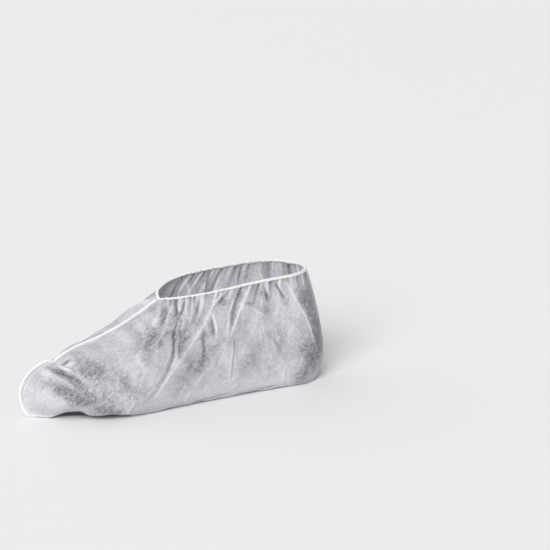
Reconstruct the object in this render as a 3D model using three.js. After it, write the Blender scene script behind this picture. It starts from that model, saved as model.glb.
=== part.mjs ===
// A disposable shoe cover, in the form that it has when worn: one nonwoven sheet folded under the sole,
// sewn up the toe and the heel into fins, and gathered round the ankle by a binding folded over its edge.
// Millimetres, +Z up. The sole lies on Z = 0, the toe points along -X, and the origin is under its middle.
import * as THREE from "three";

// Driving dimensions
const WALL = 1; // sheet
const GAP = 0.3; // between pieces that lie on each other
// A sewn seam that stands out of the sheet on a pointed root, and the levels it runs between.
const FIN = { height: 3, thickness: 1.6, root: 0.5 };
const FRONT_SEAM = { from: 0.015, to: 0.965 };
const HEEL_SEAM = { from: 0.035, to: 0.94 };
// The binding's tape, how far it reaches down the sheet, and its height over the sheet's edge.
const BINDING = { fold: 0.8, depth: 3.4, crown: 1.2, bevel: 0.6 };
// Toe spring: the stations between which the sole leaves the floor and comes back, felt up to a level.
const SOLE_LIFT = { height: 6.5, leaves: [28, 47], returns: [55, 70], level: 0.25 };
const NEAR = -1; // the side on -Y
const FAR = 1;

// The sheet's two sewn edges, seen from the side: station from the toe end, and height.
const FRONT_EDGE = [
  { at: "sole corner", s: 16, z: 0 },
  { at: "under the tip", s: 9.9, z: 12 },
  { at: "tip", s: 7.2, z: 27 },
  { at: "over the tip", s: 12.6, z: 39.8 },
  { at: "flap", s: 22.8, z: 48.8 },
  { at: "flap top", s: 34.8, z: 53.2 },
  { at: "notch", s: 41, z: 51 },
  { at: "toe cap", s: 51, z: 57 },
  { at: "vamp", s: 66, z: 63.5 },
  { at: "vamp", s: 95, z: 71.5 },
  { at: "instep", s: 125, z: 83.5 },
  { at: "throat", s: 159, z: 102 },
];
const HEEL_EDGE = [
  { at: "sole corner", s: 333, z: 0 },
  { at: "heel base", s: 341.2, z: 10 },
  { at: "heel", s: 342.9, z: 36 },
  { at: "counter", s: 337.4, z: 65 },
  { at: "collar", s: 329.6, z: 95 },
  { at: "binding", s: 322.4, z: 118 },
];

// The sheet at levels from the sole's edge (0) to the opening (1).
// Its half width at three stations, its height behind the toe flap, and how far its sides rise over the
// line between the seams.
// How a level closes at the toe: over what length, and how bluntly (1 is a wedge, 0.5 is round).
// Over what length it closes at the back of the heel.
const STATIONS = { ball: 112, waist: 200, heel: 285 };
const LEVELS = [
  { level: 0, ball: 48, waist: 39, heel: 35, z: 0, rise: 0, toe: 96, blunt: 1.05, back: 28 },
  { level: 0.1, ball: 55, waist: 44, heel: 38, z: 13, rise: 0, toe: 98, blunt: 1, back: 46 },
  { level: 0.24, ball: 58, waist: 46, heel: 39, z: 32, rise: 0, toe: 96, blunt: 0.95, back: 42 },
  { level: 0.42, ball: 56, waist: 46, heel: 39.5, z: 53, rise: 0, toe: 80, blunt: 0.86, back: 42 },
  { level: 0.62, ball: 51, waist: 45, heel: 39, z: 69, rise: 2, toe: 66, blunt: 0.8, back: 42 },
  { level: 0.82, ball: 46, waist: 42, heel: 37, z: 84, rise: 6, toe: 58, blunt: 0.62, back: 42 },
  { level: 1, ball: 40, waist: 37, heel: 33.5, z: 102, rise: 8.5, toe: 60, blunt: 0.5, back: 42 },
];
const HEEL_ROUND = 0.5; // how bluntly every level closes at the heel
const RISE = { growth: 0.6, fall: 3 }; // how soon the sides rise behind the toe, and how late they come down
const FLAP_REACH = 20; // how far behind the toe seam the flap's outline shapes the sheet

// Folds of the two sides, seen from the side: a line from its head to its foot (station, height),
// the crest's height over the sheet (a valley is negative), and the half width of the slope ahead of the
// line and behind it.
const FOLDS = [
  { side: NEAR, at: "toe dent", head: [38, 52], foot: [58, 36], crest: -4.5, ahead: 6, behind: 5 },
  { side: NEAR, at: "toe roll", head: [46, 56], foot: [64, 46], crest: 1.8, ahead: 5, behind: 8 },
  { side: NEAR, at: "prow ridge", head: [30, 47], foot: [48, 31], crest: 1.5, ahead: 7, behind: 5 },
  { side: NEAR, at: "prow dent", head: [28, 38], foot: [58, 20], crest: -2.2, ahead: 7, behind: 7 },
  { side: NEAR, at: "instep pleat", head: [163, 98], foot: [149, 52], crest: -3.2, ahead: 11, behind: 8 },
  { side: NEAR, at: "instep crest", head: [173, 100], foot: [158, 58], crest: 2.6, ahead: 9, behind: 11 },
  { side: NEAR, at: "ball crease", head: [151, 60], foot: [122, 14], crest: -2.2, ahead: 10, behind: 9 },
  { side: NEAR, at: "waist crest", head: [195, 95], foot: [130, 26], crest: 3, ahead: 9, behind: 11 },
  { side: NEAR, at: "waist facet", head: [196, 86], foot: [186, 52], crest: -2.6, ahead: 11, behind: 9 },
  { side: NEAR, at: "waist pleat", head: [200, 94], foot: [203, 56], crest: 2, ahead: 9, behind: 10 },
  { side: NEAR, at: "shank pleat", head: [219, 104], foot: [212, 58], crest: 1.8, ahead: 9, behind: 9 },
  { side: NEAR, at: "shank valley", head: [230, 106], foot: [217, 62], crest: -2.8, ahead: 10, behind: 9 },
  { side: NEAR, at: "shank crest", head: [241, 106], foot: [224, 60], crest: 2.4, ahead: 9, behind: 11 },
  { side: NEAR, at: "shank crease", head: [224, 56], foot: [216, 14], crest: -1.4, ahead: 9, behind: 9 },
  { side: NEAR, at: "heel crest", head: [286, 106], foot: [328, 22], crest: 2.2, ahead: 11, behind: 11 },
  { side: FAR, at: "toe dent", head: [38, 52], foot: [56, 34], crest: -2.8, ahead: 8, behind: 9 },
  { side: FAR, at: "toe cap roll", head: [47, 55], foot: [84, 63], crest: 3, ahead: 8, behind: 8 },
  { side: FAR, at: "prow dent", head: [28, 34], foot: [56, 20], crest: -1.8, ahead: 8, behind: 8 },
  { side: FAR, at: "instep pleat", head: [168, 99], foot: [146, 46], crest: -3, ahead: 11, behind: 8 },
  { side: FAR, at: "instep crest", head: [179, 102], foot: [156, 40], crest: 2.8, ahead: 9, behind: 11 },
  { side: FAR, at: "waist valley", head: [197, 104], foot: [178, 46], crest: -2.6, ahead: 10, behind: 9 },
  { side: FAR, at: "waist crest", head: [214, 104], foot: [200, 36], crest: 2.4, ahead: 9, behind: 9 },
  { side: FAR, at: "shank valley", head: [238, 106], foot: [232, 54], crest: -2.2, ahead: 11, behind: 10 },
  { side: FAR, at: "shank crest", head: [258, 106], foot: [256, 48], crest: 1.8, ahead: 10, behind: 9 },
  { side: FAR, at: "heel crest", head: [288, 106], foot: [324, 28], crest: 2, ahead: 11, behind: 11 },
];
// Shares of a fold's line over which it starts and dies out.
const FOLD_ENDS = { starts: [-0.3, 0.05], dies: [0.6, 1.15] };
// Puckers that the elastic draws: waves on each side, their height, and the levels they hang between.
const GATHERS = { waves: 9, height: 1.1, foot: 0.66, head: 0.9 };
// Steps to find where the two layers part at the toe seam, and how far back that is felt.
const PARTING = { step: 0.004, reach: 0.1 };
// Where the folds leave the sheet flat: by its seams, in shares of the way round, and by the sole's edge
// and inside the binding, in levels.
const FLAT = { toe: [0, 0.07], heel: [0.94, 1], sole: [0, 0.14], bound: [0.88, 0.965] };

// Sampling of the sheet
const STEPS_ROUND = 48; // from the toe seam to the heel seam, on each side
const EVEN_SHARE = 0.35; // the rest of the spacing closes up towards the seams
const ROWS = [
  0, 0.035, 0.07, 0.11, 0.15, 0.19, 0.23, 0.265, 0.3, 0.333, 0.358, 0.378,
  0.398, 0.428, 0.47, 0.525, 0.59, 0.66, 0.74, 0.82, 0.9, 0.96, 1,
];

const frontEdge = edgeCurve(FRONT_EDGE);
const heelEdge = edgeCurve(HEEL_EDGE);

function edgeCurve(rows) {
  const curve = new THREE.SplineCurve(rows.map((row) => new THREE.Vector2(row.s, row.z)));
  curve.arcLengthDivisions = 600;
  return curve;
}

// Smooth curve through the rows of a table: the value of one column at a place along another.
function lookUp(rows, along, column, place) {
  const last = rows.length - 1;
  let i = 0;
  while (i < last - 1 && place > rows[i + 1][along]) i += 1;
  const slope = (k) => {
    const a = rows[Math.max(k - 1, 0)];
    const b = rows[Math.min(k + 1, last)];
    return (b[column] - a[column]) / (b[along] - a[along]);
  };
  const span = rows[i + 1][along] - rows[i][along];
  const u = THREE.MathUtils.clamp((place - rows[i][along]) / span, 0, 1);
  const blend = u * u * (3 - 2 * u);
  const lean = u * (1 - u) * span;
  return (
    rows[i][column] * (1 - blend) +
    rows[i + 1][column] * blend +
    lean * ((1 - u) * slope(i) - u * slope(i + 1))
  );
}

// Half width of the sheet at a station, on one level.
function halfWidth(level, s) {
  const stations = Object.entries(STATIONS).map(([name, at]) => ({
    at,
    width: lookUp(LEVELS, "level", name, level),
  }));
  const place = THREE.MathUtils.clamp(s, STATIONS.ball, STATIONS.heel);
  return lookUp(stations, "at", "width", place);
}

// How far open a level is at a distance from its closed end: 0 at the end, 1 past the closing length.
function closing(distance, length, shape) {
  const u = THREE.MathUtils.clamp(1 - distance / length, 0, 1);
  return (1 - u * u) ** shape;
}

function soleHeight(s) {
  const up = THREE.MathUtils.smoothstep(s, ...SOLE_LIFT.leaves);
  const down = THREE.MathUtils.smoothstep(s, ...SOLE_LIFT.returns);
  return SOLE_LIFT.height * up * (1 - down);
}

// The smooth sheet: round is 0 at the toe seam and 1 at the heel seam,
// and level is 0 at the sole and 1 at the opening.
function smoothSheet(round, level, side) {
  const front = frontEdge.getPointAt(level);
  const heel = heelEdge.getPointAt(level);
  const eased = (1 - Math.cos(Math.PI * round)) / 2;
  const u = THREE.MathUtils.lerp(eased, round, EVEN_SHARE);
  const s = THREE.MathUtils.lerp(front.x, heel.x, u);
  const column = (name) => lookUp(LEVELS, "level", name, level);
  const toe = closing(s - front.x, column("toe"), column("blunt"));
  const open = toe * closing(heel.x - s, column("back"), HEEL_ROUND);
  const spring = soleHeight(s) * Math.max(0, 1 - level / SOLE_LIFT.level) ** 2;
  const rise = column("rise") * toe ** RISE.growth * (1 - u ** RISE.fall);
  const flap = (front.y - column("z")) * Math.exp(-(((s - front.x) / FLAP_REACH) ** 2));
  const z = THREE.MathUtils.lerp(column("z"), heel.y, u) + flap + spring + rise;
  return new THREE.Vector3(s, side * halfWidth(level, s) * open, z);
}

// How far the folds push the sheet out at a place seen from the side.
function foldHeight(place, side) {
  let height = 0;
  for (const fold of FOLDS) {
    if (fold.side !== side) continue;
    const head = new THREE.Vector2(...fold.head);
    const run = new THREE.Vector2(...fold.foot).sub(head);
    const from = new THREE.Vector2(place.x, place.z).sub(head);
    const along = from.dot(run) / run.lengthSq();
    const across = run.cross(from) / run.length();
    const width = across > 0 ? fold.ahead : fold.behind;
    const starts = THREE.MathUtils.smoothstep(along, ...FOLD_ENDS.starts);
    const ends = THREE.MathUtils.smoothstep(along, ...FOLD_ENDS.dies);
    height += fold.crest * Math.exp(-((across / width) ** 2)) * (starts - ends);
  }
  return height;
}

// Outward direction of a surface made by a function of round and level.
function outward(surface, round, level, side) {
  const step = 0.004;
  const edge = round < step || round > 1 - step;
  const r = THREE.MathUtils.clamp(round, step, 1 - step);
  const l = THREE.MathUtils.clamp(level, step, 1 - step);
  const along = surface(r + step, l, side).sub(surface(r - step, l, side));
  const up = surface(r, l + step, side).sub(surface(r, l - step, side));
  const normal = along.cross(up).multiplyScalar(-side);
  if (edge) normal.y = 0;
  return normal.normalize();
}

// How far the gathers push it, at a place on the sheet.
function gatherHeight(round, level) {
  const hang = THREE.MathUtils.smoothstep(level, GATHERS.foot, GATHERS.head);
  return GATHERS.height * hang * Math.sin(2 * Math.PI * GATHERS.waves * round);
}

// The folded sheet's outer face: flat along its seams, its sole edge and its bound edge.
function sheet(round, level, side) {
  const place = smoothSheet(round, level, side);
  const toe = THREE.MathUtils.smoothstep(round, ...FLAT.toe);
  const heel = THREE.MathUtils.smoothstep(round, ...FLAT.heel);
  const sole = THREE.MathUtils.smoothstep(level, ...FLAT.sole);
  const bound = THREE.MathUtils.smoothstep(level, ...FLAT.bound);
  const free = (toe - heel) * (sole - bound);
  const height = (foldHeight(place, side) + gatherHeight(round, level)) * free;
  if (height === 0) return place;
  return place.addScaledVector(outward(smoothSheet, round, level, side), height);
}

// The sheet's inner face. At the toe seam its two layers lie on each other, so the hollow starts where
// they part.
function liner(round, level, side) {
  const inner = (r) => sheet(r, level, side).addScaledVector(outward(sheet, r, level, side), -WALL);
  let start = 0;
  while (side * inner(Math.max(start, PARTING.step)).y < 0) start += PARTING.step;
  const place = inner(round + start * Math.max(0, 1 - round / PARTING.reach));
  if (round === 0 || round === 1) place.y = 0;
  place.z = Math.max(place.z, soleHeight(place.x) + WALL);
  return place;
}

// Points of one level, from the toe seam along the near side to the heel seam, and back on the far side.
function ring(face, level) {
  const points = [];
  for (let i = 0; i <= STEPS_ROUND; i += 1) points.push(face(i / STEPS_ROUND, level, NEAR));
  for (let i = STEPS_ROUND - 1; i > 0; i -= 1) points.push(face(i / STEPS_ROUND, level, FAR));
  return points;
}

// A mesh being collected: points and triangles.
class Faces {
  points = [];
  triangles = [];

  add(points) {
    const first = this.points.length;
    this.points.push(...points);
    return points.map((_, i) => first + i);
  }

  // A quad cut along its shorter diagonal.
  quad(a, b, c, d) {
    const apart = (i, j) => this.points[i].distanceTo(this.points[j]);
    if (apart(a, c) <= apart(b, d)) this.triangles.push(a, b, c, a, c, d);
    else this.triangles.push(a, b, d, b, c, d);
  }

  // A closed band between two rings of the same number of points.
  band(low, high) {
    low.forEach((a, i) => {
      const next = (i + 1) % low.length;
      this.quad(a, low[next], high[next], high[i]);
    });
  }

  // The same triangles on other points, facing the other way.
  mirror(first, count, shift) {
    for (let i = first; i < first + count; i += 3) {
      const [a, b, c] = this.triangles.slice(i, i + 3);
      this.triangles.push(a + shift, c + shift, b + shift);
    }
  }

  geometry() {
    const flat = this.points.flatMap((p) => p.toArray());
    return new THREE.BufferGeometry()
      .setAttribute("position", new THREE.Float32BufferAttribute(flat, 3))
      .setIndex(this.triangles);
  }
}

// The half soles that run in from a ring at the sole's edge to the fold line under its middle.
function addSole(faces, edge, fold) {
  const line = [edge[0], ...fold, edge[STEPS_ROUND]];
  for (let i = 0; i < STEPS_ROUND; i += 1) {
    const near = [edge[i], edge[i + 1]];
    const far = [edge[(2 * STEPS_ROUND - i) % (2 * STEPS_ROUND)], edge[2 * STEPS_ROUND - i - 1]];
    const strips = [
      [near[0], line[i], line[i + 1], near[1]],
      [line[i], far[0], far[1], line[i + 1]],
    ];
    for (const strip of strips) {
      const corners = strip.filter((corner, k) => strip.indexOf(corner) === k);
      for (let k = 2; k < corners.length; k += 1) {
        faces.triangles.push(corners[0], corners[k - 1], corners[k]);
      }
    }
  }
}

// One face of the sheet as points: its rings from the sole to the opening, then the fold line of the sole.
function facePoints(faces, face) {
  const rings = ROWS.map((level) => faces.add(ring(face, level)));
  const foldLine = faces.points
    .slice(rings[0][1], rings[0][STEPS_ROUND])
    .map((place) => new THREE.Vector3(place.x, 0, place.z));
  return { rings, fold: faces.add(foldLine) };
}

function coverSheet() {
  const faces = new Faces();
  const outer = facePoints(faces, sheet);
  const inner = facePoints(faces, liner);
  for (let j = 1; j < ROWS.length; j += 1) faces.band(outer.rings[j - 1], outer.rings[j]);
  addSole(faces, outer.rings[0], outer.fold);
  faces.mirror(0, faces.triangles.length, inner.rings[0][0] - outer.rings[0][0]);
  faces.band(outer.rings.at(-1), inner.rings.at(-1));
  return faces.geometry();
}

// A bar of the given section swept along stations, each with an origin and two directions,
// closed in a loop or capped.
function sweep(section, stations, loop) {
  const faces = new Faces();
  const rings = stations.map(({ origin, across, out }) =>
    faces.add(
      section.map(([a, o]) => origin.clone().addScaledVector(across, a).addScaledVector(out, o)),
    ),
  );
  for (let i = 1; i < rings.length; i += 1) faces.band(rings[i - 1], rings[i]);
  if (loop) {
    faces.band(rings.at(-1), rings[0]);
  } else {
    for (const [end, turn] of [
      [rings[0], 1],
      [rings.at(-1), -1],
    ]) {
      for (let k = 2; k < end.length; k += 1) {
        const corners = turn > 0 ? [end[0], end[k], end[k - 1]] : [end[0], end[k - 1], end[k]];
        faces.triangles.push(...corners);
      }
    }
  }
  return faces.geometry();
}

// The binding: a tape folded over the sheet's edge all round the opening.
function ankleBinding() {
  const { fold, depth, crown, bevel } = BINDING;
  const outerFace = GAP + fold;
  const innerFace = -WALL - GAP - fold;
  const section = [
    [outerFace - fold, -depth],
    [outerFace - fold, GAP],
    [innerFace + fold, GAP],
    [innerFace + fold, -depth],
    [innerFace, -depth],
    [innerFace, GAP],
    [innerFace + bevel, crown],
    [outerFace - bevel, crown],
    [outerFace, GAP],
    [outerFace, -depth],
  ];
  const edge = ring(sheet, 1);
  const below = ring(sheet, ROWS.at(-2));
  const lining = ring(liner, 1);
  const stations = edge.map((origin, i) => ({
    origin,
    across: origin.clone().sub(lining[i]).normalize(),
    out: origin.clone().sub(below[i]).normalize(),
  }));
  return sweep(section, stations, true);
}

// A seam fin along a sewn edge of the sheet, between two levels. It bends where the sheet's rows bend.
function seamFin(edge, { from, to }, outSign) {
  const half = FIN.thickness / 2;
  const section = [
    [0, GAP],
    [half, GAP + FIN.root],
    [half, GAP + FIN.height - half],
    [0, GAP + FIN.height],
    [-half, GAP + FIN.height - half],
    [-half, GAP + FIN.root],
  ];
  const levels = [from, ...ROWS.filter((level) => level > from && level < to), to];
  const stations = levels.map((level) => {
    const place = edge.getPointAt(level);
    const along = edge.getTangentAt(level);
    return {
      origin: new THREE.Vector3(place.x, 0, place.y),
      across: new THREE.Vector3(0, outSign, 0),
      out: new THREE.Vector3(-along.y * outSign, 0, along.x * outSign),
    };
  });
  return sweep(section, stations, false);
}

const NONWOVEN = new THREE.MeshStandardMaterial({ color: 0xd2d4d8, roughness: 0.9, metalness: 0 });
const THREAD = new THREE.MeshStandardMaterial({ color: 0xf2f2f2, roughness: 0.85, metalness: 0 });
const TAPE = new THREE.MeshStandardMaterial({ color: 0xf4f4f2, roughness: 0.8, metalness: 0 });

const cover = new THREE.Group();
function addPiece(name, geometry, material) {
  const mesh = new THREE.Mesh(geometry, material);
  mesh.name = name;
  cover.add(mesh);
}

addPiece("cover_sheet", coverSheet(), NONWOVEN);
addPiece("ankle_binding", ankleBinding(), TAPE);
addPiece("front_seam", seamFin(frontEdge, FRONT_SEAM, 1), THREAD);
addPiece("heel_seam", seamFin(heelEdge, HEEL_SEAM, -1), THREAD);

// The origin is under the middle of its length.
const middle = new THREE.Box3().setFromObject(cover).getCenter(new THREE.Vector3());
cover.children.forEach((mesh) => mesh.geometry.translate(-middle.x, 0, 0));

export default cover;
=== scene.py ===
# %% [markdown]
# # A disposable shoe cover
# A thin white bag of nonwoven fabric, worn once in a clean place. One sheet is folded under the sole, its
# two sides are sewn together up the toe and up the heel, and an elastic in a white binding gathers the
# edge round the ankle. It stands empty, in the form that it has in use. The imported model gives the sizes,
# and this script gives the cloth its creases, stitches and finish.

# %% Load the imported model
import math

import bmesh
import bpy
import numpy as np
from mathutils import Matrix, Vector


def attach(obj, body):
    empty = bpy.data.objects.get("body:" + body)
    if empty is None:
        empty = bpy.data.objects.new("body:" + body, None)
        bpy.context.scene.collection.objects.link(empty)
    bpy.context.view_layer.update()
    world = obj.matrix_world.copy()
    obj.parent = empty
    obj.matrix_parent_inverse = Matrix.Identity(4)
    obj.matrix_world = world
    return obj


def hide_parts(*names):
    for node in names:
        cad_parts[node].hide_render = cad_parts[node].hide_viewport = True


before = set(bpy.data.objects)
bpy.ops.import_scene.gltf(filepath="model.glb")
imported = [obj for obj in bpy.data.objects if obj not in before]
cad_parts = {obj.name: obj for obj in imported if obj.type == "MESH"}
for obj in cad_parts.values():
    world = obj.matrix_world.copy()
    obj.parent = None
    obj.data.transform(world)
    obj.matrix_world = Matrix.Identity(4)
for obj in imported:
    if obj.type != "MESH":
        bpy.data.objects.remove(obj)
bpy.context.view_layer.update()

MM = 0.001
MIDDLE = 175.352  # station of the origin: stations run from toe to heel, in millimetres
print("nodes:", sorted(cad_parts))

# %% [markdown]
# ## The two seams
# Seen from the side, a sewn cover has two edges that are easy to draw: the toe seam and the heel seam.
# Each is a row of points, the same as in the solid model, with a smooth curve through them. Blender
# curves would do, but a function in numpy can be asked for thousands of places at once.

# %% Seam lines
TOE_SEAM = [  # station and height, from the sole to the opening
    (16, 0), (9.9, 12), (7.2, 27), (12.6, 39.8), (22.8, 48.8), (34.8, 53.2),
    (41, 51), (51, 57), (66, 63.5), (95, 71.5), (125, 83.5), (159, 102),
]
HEEL_SEAM = [(333, 0), (341.2, 10), (342.9, 36), (337.4, 65), (329.6, 95), (322.4, 118)]
SAMPLES = 4001


def steps(grid, axis=0):
    """Distance along a line of points, or one direction of a grid."""
    length = np.linalg.norm(np.diff(grid, axis=axis), axis=-1)
    start = np.zeros_like(np.take(length, [0], axis=axis))
    return np.concatenate([start, np.cumsum(length, axis=axis)], axis=axis)


def seam_line(points):
    """A function for the place on a seam at a level, the share of its length."""
    p = np.array(points, float)
    q = np.linspace(0, len(p) - 1, SAMPLES)
    i = np.minimum(q.astype(int), len(p) - 2)
    w = (q - i)[:, None]
    before, a, b, after = p[np.maximum(i - 1, 0)], p[i], p[i + 1], p[np.minimum(i + 2, len(p) - 1)]
    v0, v1 = (b - before) / 2, (after - a) / 2
    line = (2 * a - 2 * b + v0 + v1) * w**3 + (3 * b - 3 * a - 2 * v0 - v1) * w**2 + v0 * w + a
    length = steps(line)
    print("seam through", len(points), "points,", round(length[-1], 1), "mm long")
    return lambda level: [np.interp(level, length / length[-1], line[:, k]) for k in (0, 1)]


toe_seam, heel_seam = seam_line(TOE_SEAM), seam_line(HEEL_SEAM)

# %% [markdown]
# ## The smooth sheet
# Every other line of the cloth runs from seam to seam, at a level between the sole's edge (0) and the
# opening (1). The table holds the solid model's half widths and heights, so the cloth lands where the
# solid is. A subdivided cage would do too, but one function for any point of the sheet keeps the mesh,
# the creases and the finish on the same measures.

# %% Widths and heights
STATIONS = [112, 200, 285]  # ball, waist and heel
NEAR, FAR = -1, 1  # the two sides, -Y and +Y
LEVELS = {
    "level": [0, 0.1, 0.24, 0.42, 0.62, 0.82, 1],
    "ball": [48, 55, 58, 56, 51, 46, 40],
    "waist": [39, 44, 46, 46, 45, 42, 37],
    "heel": [35, 38, 39, 39.5, 39, 37, 33.5],
    "height": [0, 13, 32, 53, 69, 84, 102],
    "toe_length": [96, 98, 96, 80, 66, 58, 60],
    "toe_shape": [1.05, 1, 0.95, 0.86, 0.8, 0.62, 0.5],
    "heel_length": [28, 46, 42, 42, 42, 42, 42],
    "rise": [0, 0, 0, 0, 2, 6, 8.5],
}
print("levels in the table:", len(LEVELS["level"]))

# %% Curves through the table
def smoothstep(x, low, high):
    """0 below low, 1 above high, and a smooth rise between them."""
    t = np.clip((x - low) / (high - low), 0, 1)
    return t * t * (3 - 2 * t)


def through(places, values, x):
    """A smooth curve through values at places, level beyond its ends, read at x."""
    last = len(places) - 1
    slopes = []
    for k in range(last + 1):
        a, b = max(k - 1, 0), min(k + 1, last)
        slopes.append((values[b] - values[a]) / (places[b] - places[a]))
    limits = [-np.inf, *places[1:-1], np.inf]
    out = 0
    for i in range(last):
        inside = (x >= limits[i]) & (x < limits[i + 1])
        span = places[i + 1] - places[i]
        u = np.clip((x - places[i]) / span, 0, 1)
        blend, lean = u * u * (3 - 2 * u), u * (1 - u) * span
        piece = values[i] * (1 - blend) + values[i + 1] * blend
        out = out + inside * (piece + lean * ((1 - u) * slopes[i] - u * slopes[i + 1]))
    return out


def closing(distance, length, shape):
    """Share of the width at a distance from a seam: 0 on it, 1 beyond the length."""
    u = np.clip(1 - distance / length, 0, 1)
    return (1 - u * u) ** shape


print("half width of the ball half way up:", through(LEVELS["level"], LEVELS["ball"], 0.5), "mm")

# %% The sheet without its folds
HEEL_SHAPE = 0.5  # the power of a round end; more is more pointed
TOE_RISE, HEEL_RISE = 0.6, 3  # powers of the instep's rise towards each seam
FLAP_REACH = 20  # how far behind the toe seam the flap's outline is felt
LIFT, LIFT_FROM, LIFT_TO, LIFT_LEVEL = 6.5, (28, 47), (55, 70), 0.25  # the sole's edge behind the toe
EVEN_SHARE = 0.35  # the rest of the spacing closes up towards the seams


def sole_lift(s):
    """How far the sole's edge stands off the floor behind the toe."""
    return LIFT * smoothstep(s, *LIFT_FROM) * (1 - smoothstep(s, *LIFT_TO))


def smooth_sheet(around, level, side):
    """Points of the sheet without its folds: around is 0 at the toe and 1 at the heel seam."""
    at = {name: through(LEVELS["level"], column, level) for name, column in LEVELS.items()}
    (toe_s, toe_z), (heel_s, heel_z) = toe_seam(level), heel_seam(level)
    u = EVEN_SHARE * around + (1 - EVEN_SHARE) * (1 - np.cos(np.pi * around)) / 2
    s = toe_s + (heel_s - toe_s) * u
    toe = closing(s - toe_s, at["toe_length"], at["toe_shape"])
    width = through(STATIONS, [at["ball"], at["waist"], at["heel"]], s)
    y = side * width * toe * closing(heel_s - s, at["heel_length"], HEEL_SHAPE)
    lift = sole_lift(s) * np.maximum(0, 1 - level / LIFT_LEVEL) ** 2
    flap = (toe_z - at["height"]) * np.exp(-(((s - toe_s) / FLAP_REACH) ** 2))
    rise = at["rise"] * toe**TOE_RISE * (1 - u**HEEL_RISE)
    z = at["height"] + (heel_z - at["height"]) * u + flap + lift + rise
    return np.stack([s, y, z], -1)


print("middle of the near side:", smooth_sheet(0.5, 0.5, NEAR).round(1))

# %% An even grid of points on each side
STEPS_AROUND, STEPS_UP, FINE_STEPS = 380, 120, 2000

fine = np.linspace(0, 1, FINE_STEPS + 1)
length = sum(steps(smooth_sheet(fine, np.full(fine.shape, at), NEAR)) for at in (0.3, 0.6, 0.9))
columns = np.interp(np.linspace(0, 1, STEPS_AROUND + 1), length / length[-1], fine)
around, level = np.meshgrid(columns, np.linspace(0, 1, STEPS_UP + 1))
smooth = {side: smooth_sheet(around, level, side) for side in (NEAR, FAR)}
print("rows and columns a side:", level.shape)
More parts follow.
